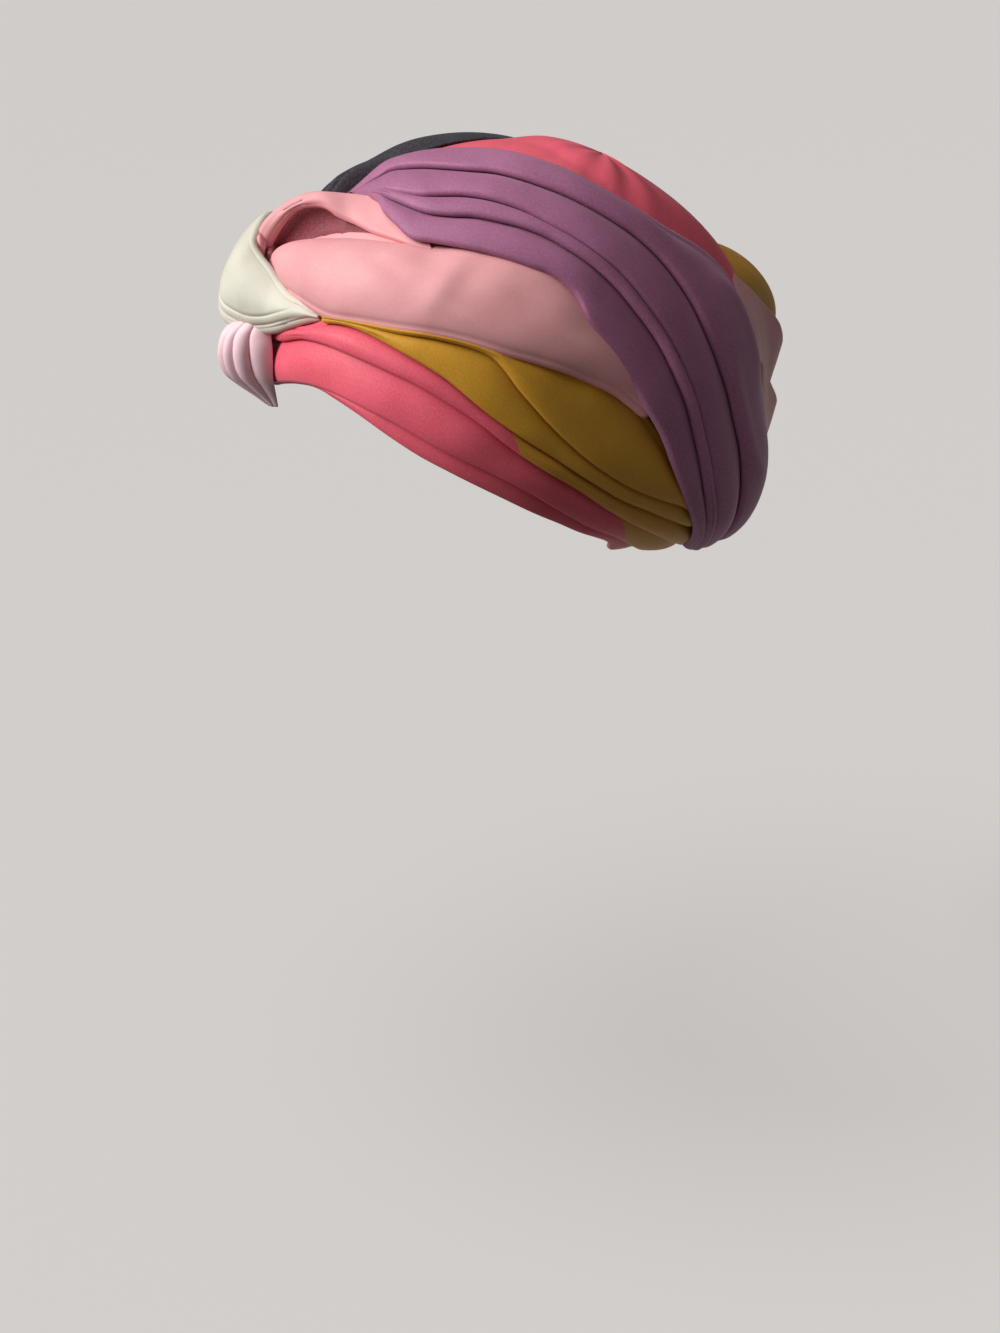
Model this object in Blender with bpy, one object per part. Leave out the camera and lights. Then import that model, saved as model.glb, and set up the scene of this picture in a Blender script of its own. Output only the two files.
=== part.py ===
"""Turban headwrap: a soft coral cap wound with pleated bands and a looped knot at the front.

The origin is the middle of the head hollow. +Z is up, the face looks along -Y
and the wearer's left side is +X. Lengths in the tables are millimetres, angles degrees.
"""

import math

import bmesh
import bpy
from mathutils import Matrix, Vector

# Driving sizes
MM = 0.001
HALF_WIDTH = 94.0
ROUNDNESS = 2.2
RIM_TILT = 33.0
FAN_PITCH = 50.0
CAP_OUTSIDE = -3.0
CAP_WALL = 2.5
LAYER_GAP = 0.7
EDGE_GAP = 0.5
BAND_INSIDE = CAP_OUTSIDE + LAYER_GAP
OVER_BAND_INSIDE = 3.0
RIGHT_PUFF_START = 23

# Side profile of the wrapped form: angle from the face over the top, radius from the origin
PROFILE = (
    (-40, 94), (-15, 95), (10, 99), (35, 107), (60, 105), (85, 110), (110, 117),
    (135, 122), (160, 135), (185, 147), (210, 157), (235, 109), (265, 101), (295, 96),
)

# Cap: height above the rim plane of each ring of its wall
CAP_RINGS = (-18, -13, -8, -3, 3, 10, 18, 27, 37, 48, 60, 74)

# Brow band: azimuth round the rim, then heights of rim, lower edge, crease and upper edge
BROW = (
    (0, -32.0, -31.0, -19.0, -16.0),
    (15, -27.2, -26.4, -14.5, -12.0),
    (30, -23.2, -22.2, -10.3, -5.0),
    (45, -23.6, -20.0, -8.0, -2.5),
    (60, -24.6, -19.4, -7.0, -2.2),
    (80, -24.0, -18.6, -8.4, -4.8),
    (100, -23.2, -17.5, -10.1, -6.4),
    (120, -22.0, -18.0, -10.4, -7.0),
    (140, -20.5, -16.5, -9.8, -5.2),
    (160, -19.0, -15.5, -8.5, -4.5),
    (180, -18.0, -14.5, -8.0, -4.5),
)

# Side pleats: azimuth, then heights of lower edge, crease and upper edge
SIDE_PLEATS = (
    (26, -6.0, -5.4, -4.6),
    (36, -3.0, -1.8, 0.0),
    (45, -1.8, 0.6, 3.4),
    (60, -1.5, 4.4, 9.0),
    (72, -2.6, 7.4, 12.4),
    (85, -4.2, 4.2, 15.0),
    (100, -5.7, 0.0, 16.6),
    (115, -6.2, -1.9, 14.6),
    (126, -5.8, -1.8, 9.0),
    (138, -4.3, -1.4, 1.0),
    (147, -3.6, -2.6, -1.8),
)

# Puffed band: azimuth, then heights of lower and upper edge, and how far it puffs out
PUFFED = (
    (-9, -3.0, 1.5, 1.0),
    (-5, -5.2, 6.0, 4.0),
    (4, -5.4, 9.8, 6.0),
    (16, -4.4, 14.2, 6.0),
    (28, -3.2, 20.2, 5.5),
    (40, 1.0, 27.0, 5.0),
    (55, 6.8, 34.0, 5.0),
    (72, 12.0, 38.0, 5.0),
    (90, 16.4, 32.0, 4.5),
    (105, 17.6, 26.0, 3.5),
    (117, 15.6, 20.0, 1.5),
)

# Fan of pleats: degrees from the forehead pole, then roll of top edge, creases, lower edge
LEFT_FAN = (
    (14, -30, -14, 30, 34, 38),
    (22, -20, 4, 46, 53, 62),
    (32, -9, 24, 48, 58, 72),
    (45, 5, 31, 46, 54, 67),
    (60, 18, 33, 46, 51, 60),
    (80, 22, 33, 46, 50, 62),
    (100, 18, 37, 49, 53, 64),
    (120, 17, 42, 54, 57, 67),
    (136, 25, 48, 60, 64, 70),
    (150, 30, 53, 63, 67, 71),
)
RIGHT_FAN = (
    (18, -56, -60, -65, -70),
    (24, -46, -52, -58, -66),
    (32, -36, -45, -56, -70),
    (45, -29, -40, -52, -67),
    (60, -24, -37, -50, -60),
    (80, -21, -36, -49, -62),
    (100, -18, -38, -52, -64),
    (120, -17, -42, -56, -67),
    (136, -25, -48, -62, -70),
    (150, -30, -53, -65, -71),
)

# Rolled arch over the knot: azimuth, height, half width, height off the form, thickness
ARCH = (
    (27, 22.6, 1.2, -0.8, 2.5),
    (20, 22.8, 3.0, 0.6, 4.0),
    (9, 21.6, 3.8, 0.8, 5.0),
    (-2, 19.4, 3.8, 4.0, 6.0),
    (-9, 16.4, 3.6, 9.0, 6.0),
    (-12, 12.0, 3.2, 12.5, 6.0),
    (-12, 7.0, 3.0, 11.5, 5.5),
    (-11, 2.0, 2.6, 6.5, 4.5),
)

# Knot loop: centre x, y, z, then half width and half thickness of each section
KNOT_LOOP = (
    (-16, -95, 83, 7.0, 1.8),
    (-11, -107, 76, 9.0, 2.4),
    (-8, -112, 67, 11.0, 4.0),
    (-3, -113, 58, 13.0, 7.5),
    (3, -112, 48, 14.0, 10.5),
    (12, -110, 41, 12.0, 8.5),
    (23, -105, 40, 9.0, 5.0),
    (34, -98, 42, 6.0, 2.8),
    (44, -91, 44, 2.0, 1.6),
)

# Knot gather: height z, y of its back, half width, depth, depth of the folds
KNOT_GATHER = (
    (29, -102, 9, 17, 1.0),
    (24, -102, 12, 23, 1.8),
    (14, -102, 12, 22, 2.2),
    (7, -102, 11, 18, 2.0),
    (1, -101, 9, 10, 1.4),
    (-6, -100, 7, 3, 0.6),
)
GATHER_FOLDS = 7

# Pieces tucked in at the back: azimuth, then heights of lower and upper edge, puff
BACK_LOBE = (
    (163, 35.0, 48.0, 6.0),
    (169, 34.0, 54.0, 18.0),
    (180, 33.0, 56.0, 22.0),
    (191, 34.0, 54.0, 18.0),
    (197, 35.0, 48.0, 6.0),
)
UPPER_FOLD = (
    (164, 25.0, 34.0, 4.0),
    (171, 22.0, 32.6, 12.0),
    (184, 18.0, 32.0, 12.0),
    (196, 14.0, 28.0, 3.0),
)
LOWER_FOLD = (
    (166, 13.0, 22.0, 2.0),
    (173, 8.0, 20.6, 7.0),
    (184, 4.0, 16.6, 7.0),
    (193, 2.0, 13.0, 2.5),
)

# Cloth colours, linear
CORAL = (0.78, 0.12, 0.17)
MUSTARD = (0.55, 0.30, 0.02)
ROSE = (0.76, 0.38, 0.40)
PLUM = (0.22, 0.07, 0.17)
CHARCOAL = (0.03, 0.025, 0.035)
SAGE = (0.62, 0.60, 0.50)
BLUSH = (0.80, 0.50, 0.55)


def clear_scene():
    for thing in list(bpy.data.objects):
        bpy.data.objects.remove(thing, do_unlink=True)


def blend(rows, at):
    """Read a table at one value of its first column, with a smooth curve through its rows."""
    keys = [row[0] for row in rows]
    turn = 1 if keys[-1] > keys[0] else -1
    low = 0
    while low < len(rows) - 2 and turn * at > turn * keys[low + 1]:
        low += 1
    span = keys[low + 1] - keys[low]
    part = min(max((at - keys[low]) / span, 0.0), 1.0)
    before = rows[max(low - 1, 0)]
    first, second = rows[low], rows[low + 1]
    after = rows[min(low + 2, len(rows) - 1)]
    values = []
    for column in range(1, len(first)):
        rise_in = (second[column] - before[column]) / (second[0] - before[0]) * span
        rise_out = (after[column] - first[column]) / (after[0] - first[0]) * span
        a, b = first[column], second[column]
        curve = (2 * a - 2 * b + rise_in + rise_out) * part ** 3
        curve += (3 * b - 3 * a - 2 * rise_in - rise_out) * part ** 2
        values.append(curve + rise_in * part + a)
    return values


def wrapped(rows):
    """Repeat the end rows of a table of angles, so that its curve closes round the circle."""
    first = tuple((row[0] + 360,) + tuple(row[1:]) for row in rows[:2])
    last = tuple((row[0] - 360,) + tuple(row[1:]) for row in rows[-2:])
    return last + tuple(rows) + first


CLOSED_PROFILE = wrapped(PROFILE)


def form_radius(direction):
    """Distance from the origin to the wrapped form along a unit vector, in millimetres."""
    angle = math.degrees(math.atan2(direction.z, -direction.y))
    side_radius = blend(CLOSED_PROFILE, (angle + 40) % 360 - 40)[0]
    across = abs(direction.x) / HALF_WIDTH
    along = math.hypot(direction.y, direction.z) / side_radius
    return (across ** ROUNDNESS + along ** ROUNDNESS) ** (-1 / ROUNDNESS)


def rim_direction(azimuth, height):
    """Unit vector at an azimuth round the tilted rim and a height above its plane."""
    turn, rise = math.radians(azimuth), math.radians(height)
    flat = Vector((math.sin(turn) * math.cos(rise), -math.cos(turn) * math.cos(rise), math.sin(rise)))
    return Matrix.Rotation(-math.radians(RIM_TILT), 3, "X") @ flat


def fan_direction(station, roll):
    """Unit vector in the fan that opens from a pole on the forehead, rolled to the left."""
    along, turn = math.radians(station), math.radians(roll)
    fan = Vector((math.sin(along) * math.sin(turn), -math.cos(along), math.sin(along) * math.cos(turn)))
    return Matrix.Rotation(-math.radians(FAN_PITCH), 3, "X") @ fan


def on_form(direction, offset):
    return direction * (form_radius(direction) + offset) * MM


def steps(first, last, count):
    return [first + (last - first) * index / count for index in range(count + 1)]


def mesh_object(name, rings, colour, closed=False):
    """Join rings of points into one closed body, capped at both ends unless it runs round."""
    work = bmesh.new()
    loops = [[work.verts.new(point) for point in ring] for ring in rings]
    size = len(loops[0])
    count = len(loops) if closed else len(loops) - 1
    for index in range(count):
        here, there = loops[index], loops[(index + 1) % len(loops)]
        for corner in range(size):
            after = (corner + 1) % size
            work.faces.new((here[corner], here[after], there[after], there[corner]))
    if not closed:
        work.faces.new(loops[0])
        work.faces.new(loops[-1])
    bmesh.ops.recalc_face_normals(work, faces=work.faces)
    bmesh.ops.triangulate(work, faces=work.faces)
    return finish_object(name, work, colour)


def finish_object(name, work, colour):
    mesh = bpy.data.meshes.new(name)
    work.to_mesh(mesh)
    work.free()
    mesh.shade_smooth()
    mesh.materials.append(cloth_material(name + "_cloth", colour))
    piece = bpy.data.objects.new(name, mesh)
    bpy.context.scene.collection.objects.link(piece)
    return piece


def cloth_material(name, colour):
    material = bpy.data.materials.new(name)
    material.use_nodes = True
    shader = material.node_tree.nodes["Principled BSDF"]
    shader.inputs["Base Color"].default_value = (*colour, 1.0)
    shader.inputs["Roughness"].default_value = 0.7
    shader.inputs["Metallic"].default_value = 0.0
    return material


def pleat_section(edges, floor, tuck, roll, inner_steps):
    """Cross-section of stepped pleats: pairs of across angle and offset from the form.

    The edges run from the lowest to the highest, over a floor that slopes from one side
    to the other. Each pleat bulges at its lower edge and thins out under the next one.
    """
    def inside(angle):
        return floor[0] + (floor[1] - floor[0]) * (angle - edges[0]) / (edges[-1] - edges[0])

    outline = []
    for lower, upper in zip(edges, edges[1:]):
        bulge = lower + 0.2 * (upper - lower)
        outline.append((lower, inside(lower) + tuck))
        outline.append((lower, inside(lower) + 0.7 * roll))
        outline.append((bulge, inside(bulge) + roll))
    outline.append((edges[-1], inside(edges[-1]) + tuck))
    return outline + [(angle, inside(angle)) for angle in steps(edges[-1], edges[0], inner_steps)]


def puffed_section(lower, upper, puff):
    """Cross-section of a puffed band: flat inside, domed outside."""
    arch = [math.sin(math.pi * (index + 0.35) / 6.7) for index in range(7)]
    across = steps(lower, upper, 6)
    outline = [(angle, BAND_INSIDE + 1.5 + puff * lift) for angle, lift in zip(across, arch)]
    return outline + [(angle, BAND_INSIDE) for angle in steps(upper, lower, 4)]


def make_crown_cap():
    """Hollow cap of one wall, open at the rim, closed over the head."""
    work = bmesh.new()
    around = steps(0, 360, 42)[:-1]
    shells = []
    for offset in (CAP_OUTSIDE, CAP_OUTSIDE - CAP_WALL):
        rings = []
        for height in CAP_RINGS:
            ring = [work.verts.new(on_form(rim_direction(turn, height), offset)) for turn in around]
            rings.append(ring)
        top = work.verts.new(on_form(rim_direction(0, 90), offset))
        for low, high in zip(rings, rings[1:]):
            for index in range(len(around)):
                after = (index + 1) % len(around)
                work.faces.new((low[index], low[after], high[after], high[index]))
        for index in range(len(around)):
            work.faces.new((rings[-1][index], rings[-1][(index + 1) % len(around)], top))
        shells.append(rings[0])
    outside, inside = shells
    for index in range(len(around)):
        after = (index + 1) % len(around)
        work.faces.new((outside[index], outside[after], inside[after], inside[index]))
    bmesh.ops.recalc_face_normals(work, faces=work.faces)
    bmesh.ops.triangulate(work, faces=work.faces)
    return finish_object("crown_cap", work, CORAL)


def make_brow_band():
    """Loop of cloth round the head: a strip at the rim, a main fold and a thin fold."""
    rings = []
    for turn in steps(0, 360, 54)[:-1]:
        edges = blend(BROW, 180 - abs(180 - turn))
        section = pleat_section(edges, (BAND_INSIDE, BAND_INSIDE), 0.8, 3.0, 4)
        rings.append([on_form(rim_direction(turn, height), offset) for height, offset in section])
    return mesh_object("brow_band", rings, CORAL, closed=True)


def make_side_pleats(name, side):
    """Stack of pleats between the brow band and the puffed band."""
    rings = []
    for turn in steps(SIDE_PLEATS[0][0], SIDE_PLEATS[-1][0], 28):
        edges = blend(SIDE_PLEATS, turn)
        edges[-1] = min(edges[-1], blend(PUFFED, turn)[0] - EDGE_GAP)
        section = pleat_section(edges, (BAND_INSIDE, BAND_INSIDE), 0.9, 2.8, 3)
        rings.append([on_form(rim_direction(side * turn, height), offset) for height, offset in section])
    return mesh_object(name, rings, MUSTARD)


def make_puffed_band(name, side, first, colour):
    """Broad soft band that swells above the side pleats and runs back under the fan."""
    rings = []
    for turn in steps(first, PUFFED[-1][0], 26):
        lower, upper, puff = blend(PUFFED, turn)
        section = puffed_section(lower, upper, puff)
        rings.append([on_form(rim_direction(side * turn, height), offset) for height, offset in section])
    return mesh_object(name, rings, colour)


def make_fan(name, rows, colour, lift):
    """Fan of overlapping pleats from the forehead over one side of the crown to the nape."""
    rings = []
    for station in steps(rows[0][0], rows[-1][0], 30):
        edges = list(reversed(blend(rows, station)))
        section = pleat_section(edges, (lift, BAND_INSIDE), 0.6, 3.0, 7)
        rings.append([on_form(fan_direction(station, roll), offset) for roll, offset in section])
    return mesh_object(name, rings, colour)


def along_path(rows, count):
    """Read a table of sections at evenly spaced places from its first row to its last."""
    keyed = [(index,) + row for index, row in enumerate(rows)]
    return [blend(keyed, place) for place in steps(0, len(rows) - 1, count)]


def heading(points, index):
    return points[min(index + 1, len(points) - 1)] - points[max(index - 1, 0)]


def make_arch():
    """Rolled edge of the band where it arches over the front and dives into the knot."""
    path = along_path(ARCH, 24)
    centres = [rim_direction(turn, height) for turn, height, width, lift, thick in path]
    rings = []
    for index, (turn, height, width, lift, thick) in enumerate(path):
        across = centres[index].cross(heading(centres, index)).normalized()
        across *= math.tan(math.radians(width))
        ring = []
        for corner in range(10):
            angle = math.tau * corner / 10
            direction = (centres[index] + across * math.cos(angle)).normalized()
            ring.append(on_form(direction, lift + thick * 0.5 * math.sin(angle)))
        rings.append(ring)
    return mesh_object("front_arch", rings, ROSE)


def make_knot_loop():
    """Saddle-shaped loop that holds the bands together at the front."""
    path = along_path(KNOT_LOOP, 28)
    centres = [Vector((x, y, z)) for x, y, z, width, thick in path]
    rings = []
    for index, (x, y, z, width, thick) in enumerate(path):
        ahead = heading(centres, index)
        across = ahead.cross(centres[index]).normalized()
        outward = across.cross(ahead).normalized()
        ring = []
        for corner in range(14):
            angle = math.tau * corner / 14
            offset = across * width * math.cos(angle) + outward * thick * math.sin(angle)
            ring.append((centres[index] + offset) * MM)
        rings.append(ring)
    return mesh_object("knot_loop", rings, SAGE)


def make_knot_gather():
    """Bundle of upright folds that falls from the knot to the rim."""
    rings = []
    for height in steps(KNOT_GATHER[0][0], KNOT_GATHER[-1][0], 10):
        back, half_width, depth, ripple = blend(KNOT_GATHER, height)
        ring = []
        for turn in steps(-90, 90, GATHER_FOLDS * 4):
            fold = 1 - ripple / depth * abs(math.cos(math.radians(turn * GATHER_FOLDS)))
            x = half_width * fold * math.sin(math.radians(turn))
            y = back - depth * fold * math.cos(math.radians(turn))
            ring.append(Vector((x, y, height)) * MM)
        rings.append(ring)
    return mesh_object("knot_gather", rings, BLUSH)


def make_tucked_piece(name, rows, colour):
    """End of a band that is tucked in at the back."""
    rings = []
    for turn in steps(rows[0][0], rows[-1][0], 12):
        lower, upper, puff = blend(rows, turn)
        section = puffed_section(lower, upper, puff)
        rings.append([on_form(rim_direction(turn, height), offset) for height, offset in section])
    return mesh_object(name, rings, colour)


clear_scene()
make_crown_cap()
make_brow_band()
make_side_pleats("side_pleats_left", 1)
make_side_pleats("side_pleats_right", -1)
make_puffed_band("puffed_band_left", 1, PUFFED[0][0], ROSE)
make_puffed_band("puffed_band_right", -1, RIGHT_PUFF_START, SAGE)
make_fan("fan_band_left", LEFT_FAN, PLUM, OVER_BAND_INSIDE)
make_fan("fan_band_right", RIGHT_FAN, CHARCOAL, OVER_BAND_INSIDE)
make_arch()
make_knot_loop()
make_knot_gather()
make_tucked_piece("back_lobe", BACK_LOBE, MUSTARD)
make_tucked_piece("back_fold_upper", UPPER_FOLD, ROSE)
make_tucked_piece("back_fold_lower", LOWER_FOLD, ROSE)
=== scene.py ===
import math

import bmesh
import bpy
import mathutils
import numpy as np
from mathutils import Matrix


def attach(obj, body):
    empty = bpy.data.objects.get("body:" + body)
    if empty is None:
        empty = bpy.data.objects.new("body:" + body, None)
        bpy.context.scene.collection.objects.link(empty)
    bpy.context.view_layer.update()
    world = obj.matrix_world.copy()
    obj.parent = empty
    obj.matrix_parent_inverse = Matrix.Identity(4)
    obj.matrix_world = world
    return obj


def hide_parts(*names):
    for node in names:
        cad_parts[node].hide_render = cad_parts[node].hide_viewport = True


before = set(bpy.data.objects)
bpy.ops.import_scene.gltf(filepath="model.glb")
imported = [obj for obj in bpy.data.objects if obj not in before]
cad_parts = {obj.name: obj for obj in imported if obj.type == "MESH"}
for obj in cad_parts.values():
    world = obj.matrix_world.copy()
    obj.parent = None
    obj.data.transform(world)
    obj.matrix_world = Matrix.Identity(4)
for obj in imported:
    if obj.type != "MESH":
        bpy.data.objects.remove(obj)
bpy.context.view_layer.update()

MM = 0.001
HALF_WIDTH = 94.0
ROUNDNESS = 2.2
RIM_TILT = math.radians(33)
FAN_PITCH = math.radians(50)
CAP_OUTSIDE = -3.0
CAP_WALL = 1.8

# Side profile of the form: angle from the face over the top, radius in millimetres
PROFILE = (
    (-65, 96), (-40, 94), (-15, 95), (10, 99), (35, 107), (60, 105), (85, 110), (110, 117), (135, 122),
    (160, 135), (185, 147), (210, 157), (235, 109), (265, 101), (295, 96), (320, 94), (345, 95),
)

# Where the cap swells between the fans: station along the crown, middle, half width, height
CROWN_SWELL = (
    (50, -16, 12, 0.0),
    (62, -3, 19, 3.0),
    (80, 1, 22, 5.0),
    (100, 0, 20, 5.5),
    (120, 0, 19, 4.0),
    (140, 0, 24, 1.0),
)


def curve(rows, at):
    """Smooth curve through a table's rows, read at values of its first column."""
    table = np.array(rows, float)
    keys, values = table[:, 0], table[:, 1:]
    before = np.vstack([values[:1], values[:-1]])
    after = np.vstack([values[1:], values[-1:]])
    reach = np.append(keys[1:], keys[-1]) - np.append(keys[0], keys[:-1])
    slopes = (after - before) / reach[:, None]
    at = np.clip(np.asarray(at, float), keys[0], keys[-1])
    low = np.clip(np.searchsorted(keys, at, side="right") - 1, 0, len(keys) - 2)
    span = (keys[low + 1] - keys[low])[..., None]
    part = (at - keys[low])[..., None] / span
    first, second = values[low], values[low + 1]
    rise_in, rise_out = slopes[low] * span, slopes[low + 1] * span
    result = (2 * first - 2 * second + rise_in + rise_out) * part ** 3
    result += (3 * second - 3 * first - 2 * rise_in - rise_out) * part ** 2
    return np.moveaxis(result + rise_in * part + first, -1, 0)


def tilt_back(x, y, z, angle):
    """Unit vectors tipped about the side axis, so that the front rises."""
    flat_y = math.cos(angle) * y + math.sin(angle) * z
    flat_z = math.cos(angle) * z - math.sin(angle) * y
    return np.stack([x, flat_y, flat_z], -1)


def rim_direction(azimuth, height):
    """Unit vectors at degrees round the tilted rim and degrees above its plane."""
    turn, rise = np.radians(azimuth), np.radians(height)
    level = np.cos(rise)
    return tilt_back(np.sin(turn) * level, -np.cos(turn) * level, np.sin(rise) + 0 * turn, RIM_TILT)


def fan_direction(station, roll):
    """Unit vectors in the fan that opens from a pole on the forehead, rolled to the left."""
    along, turn = np.radians(station), np.radians(roll)
    over = np.sin(along)
    return tilt_back(over * np.sin(turn), -np.cos(along) + 0 * turn, over * np.cos(turn), FAN_PITCH)


def fan_angles(direction):
    """Station and roll of unit vectors in the fan."""
    x, y, z = np.moveaxis(direction, -1, 0)
    pole = z * math.sin(FAN_PITCH) - y * math.cos(FAN_PITCH)
    over = y * math.sin(FAN_PITCH) + z * math.cos(FAN_PITCH)
    return np.degrees(np.arccos(np.clip(pole, -1, 1))), np.degrees(np.arctan2(x, over))


def form_radius(direction):
    """Distance in millimetres from the origin to the wrapped form along unit vectors."""
    x, y, z = np.moveaxis(direction, -1, 0)
    angle = (np.degrees(np.arctan2(z, -y)) + 40) % 360 - 40
    side_radius = curve(PROFILE, angle)[0]
    across = np.abs(x) / HALF_WIDTH
    along = np.hypot(y, z) / side_radius
    return (across ** ROUNDNESS + along ** ROUNDNESS) ** (-1 / ROUNDNESS)


def on_form(direction, offset):
    """Points in metres at an offset in millimetres from the form."""
    return direction * (form_radius(direction) + offset)[..., None] * MM


def soft_step(value):
    part = np.clip(value, 0, 1)
    return part * part * (3 - 2 * part)


def ripples(along, across, seed, size):
    """Slow uneven waves over a cloth, about one high, from a few sines of odd lengths."""
    rng = np.random.default_rng(seed)
    total = 0 * along
    for _ in range(6):
        heading = rng.uniform(0, math.tau)
        length = size * rng.uniform(0.6, 1.7)
        phase = rng.uniform(0, math.tau)
        path = (along * math.cos(heading) + across * math.sin(heading)) / length
        total = total + np.sin(math.tau * path + phase)
    return total / 2.5


def add_piece(name, points, faces, weave, print_and_painted_shade):
    """Make a mesh object with its faces turned out, at rest on the part's root."""
    mesh = bpy.data.meshes.new(name)
    mesh.from_pydata(points.tolist(), [], faces)
    places = mesh.attributes.new("weave", "FLOAT_VECTOR", "POINT")
    places.data.foreach_set("vector", weave.ravel())
    if print_and_painted_shade is not None:
        lines = mesh.attributes.new("print_and_painted_shade", "FLOAT", "POINT")
        lines.data.foreach_set("value", print_and_painted_shade.ravel())
    body = bmesh.new()
    body.from_mesh(mesh)
    bmesh.ops.recalc_face_normals(body, faces=body.faces)
    body.to_mesh(mesh)
    body.free()
    mesh.shade_smooth()
    piece = bpy.data.objects.new(name, mesh)
    bpy.context.scene.collection.objects.link(piece)
    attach(piece, "root")
    return piece


def quads(a, b, c, d):
    return np.stack([a.ravel(), b.ravel(), c.ravel(), d.ravel()], -1)


def cloth_mesh(name, outer, inner, weave, print_and_painted_shade=None, closed=False):
    """Mesh of a cloth from two grids of points, one for each face, sewn along their edges.

    weave holds the place of each grid point on the flat cloth in metres. The last grid holds how
    far each point is past the line where the colour changes: a print on the brow band, painted shade on the
    arch and the gather.
    """
    rows, count = outer.shape[:2]
    inside = rows * count
    grid = np.arange(inside).reshape(rows, count)
    after = np.roll(grid, -1, 0) if closed else grid[1:]
    here = grid if closed else grid[:-1]
    faces = [
        quads(here[:, :-1], after[:, :-1], after[:, 1:], here[:, 1:]),
        quads(here[:, 1:], after[:, 1:], after[:, :-1], here[:, :-1]) + inside,
        quads(after[:, 0], here[:, 0], here[:, 0] + inside, after[:, 0] + inside),
        quads(here[:, -1], after[:, -1], after[:, -1] + inside, here[:, -1] + inside),
    ]
    if not closed:
        first, last = grid[0], grid[-1]
        faces.append(quads(first[:-1], first[1:], first[1:] + inside, first[:-1] + inside))
        faces.append(quads(last[1:], last[:-1], last[:-1] + inside, last[1:] + inside))
    points = np.concatenate([outer.reshape(-1, 3), inner.reshape(-1, 3)])
    places = np.concatenate([weave.reshape(-1, 3)] * 2)
    lines = None if print_and_painted_shade is None else np.concatenate([print_and_painted_shade.ravel()] * 2)
    return add_piece(name, points, np.concatenate(faces).tolist(), places, lines)


class Wire:
    """A shader socket that adds Math nodes when it is used in a sum."""

    def __init__(self, tree, socket):
        self.tree, self.socket = tree, socket

    def plug(self, value, socket):
        if isinstance(value, Wire):
            self.tree.links.new(value.socket, socket)
        else:
            socket.default_value = value

    def node(self, kind, settings=(), sockets=(), out=0):
        """Add one node: its settings first, then the values or links of its sockets."""
        made = self.tree.nodes.new(kind)
        for key, value in dict(settings).items():
            setattr(made, key, value)
        for key, value in dict(sockets).items():
            self.plug(value, made.inputs[key])
        return Wire(self.tree, made.outputs[out])

    def maths(self, operation, *values):
        return self.node("ShaderNodeMath", {"operation": operation}, dict(enumerate(values)))

    def __add__(self, other):
        return self.maths("ADD", self, other)

    def __radd__(self, other):
        return self.maths("ADD", other, self)

    def __sub__(self, other):
        return self.maths("SUBTRACT", self, other)

    def __rsub__(self, other):
        return self.maths("SUBTRACT", other, self)

    def __mul__(self, other):
        return self.maths("MULTIPLY", self, other)

    def __rmul__(self, other):
        return self.maths("MULTIPLY", other, self)

    def between(self, low, high):
        """Zero below low, one above high, smooth between them."""
        limits = {"Value": self, "From Min": low, "From Max": high}
        return self.node("ShaderNodeMapRange", {"interpolation_type": "SMOOTHSTEP"}, limits)

    def mix(self, first, second):
        """Blend two colours by this value."""
        return self.node("ShaderNodeMix", {"data_type": "RGBA"}, {0: self, 6: first, 7: second}, out=2)


def jersey(name, colour, shade, sheen=0.12, other=None, other_shade=None):
    """Fine matt jersey: a knit of narrow wales, a faint heather and a soft bloom.

    colour and shade are the two ends of its slow change of tone. other and other_shade are a
    second colour past the line of the colour change: a print on the brow band, painted shade on the arch and
    the gather.
    """
    material = bpy.data.materials.new(name)
    material.use_nodes = True
    tree = material.node_tree
    shader = tree.nodes["Principled BSDF"]
    start = Wire(tree, None)
    weave = start.node("ShaderNodeAttribute", {"attribute_name": "weave"}, out=1)
    clouds = {"Vector": weave, "Scale": 38.0, "Detail": 4.0, "Roughness": 0.6}
    cloud = start.node("ShaderNodeTexNoise", {}, clouds)
    heather = start.node("ShaderNodeTexNoise", {}, {"Vector": weave, "Scale": 900.0, "Detail": 2.0})
    tone = cloud.between(0.3, 0.72)
    base = tone.mix((*shade, 1.0), (*colour, 1.0))
    if other:
        # Second colour: a print on the brow band, painted shade on the arch and the gather.
        print_and_painted_shade = start.node("ShaderNodeAttribute", {"attribute_name": "print_and_painted_shade"}, out=2)
        edge = (print_and_painted_shade + (heather - 0.5) * 0.0006).between(-0.00025, 0.00025)
        base = edge.mix(base, tone.mix((*other_shade, 1.0), (*other, 1.0)))
    fleck = heather.between(0.35, 0.75) * 0.12
    bloom = [0.35 + 0.65 * value for value in colour]
    base = fleck.mix(base, (*bloom, 1.0))
    start.plug(base, shader.inputs["Base Color"])
    start.plug(cloud * 0.12 + 0.5, shader.inputs["Roughness"])
    knit = {"Vector": weave, "Scale": 420.0, "Distortion": 1.2, "Detail": 1.0, "Detail Scale": 1.5}
    wales = start.node("ShaderNodeTexWave", {"bands_direction": "Y"}, knit)
    surface = wales * 0.5 + heather * 0.5
    bump = start.node("ShaderNodeBump", {}, {"Strength": 0.3, "Distance": 0.00008, "Height": surface})
    start.plug(bump, shader.inputs["Normal"])
    shader.inputs["Sheen Weight"].default_value = sheen
    shader.inputs["Sheen Roughness"].default_value = 0.5
    shader.inputs["Sheen Tint"].default_value = (*bloom, 1.0)
    shader.inputs["Specular IOR Level"].default_value = 0.3
    return material


CORAL = (0.76, 0.098, 0.150)
CORAL_SHADE = (0.68, 0.078, 0.122)
coral_jersey = jersey("coral_jersey", CORAL, CORAL_SHADE)

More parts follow.
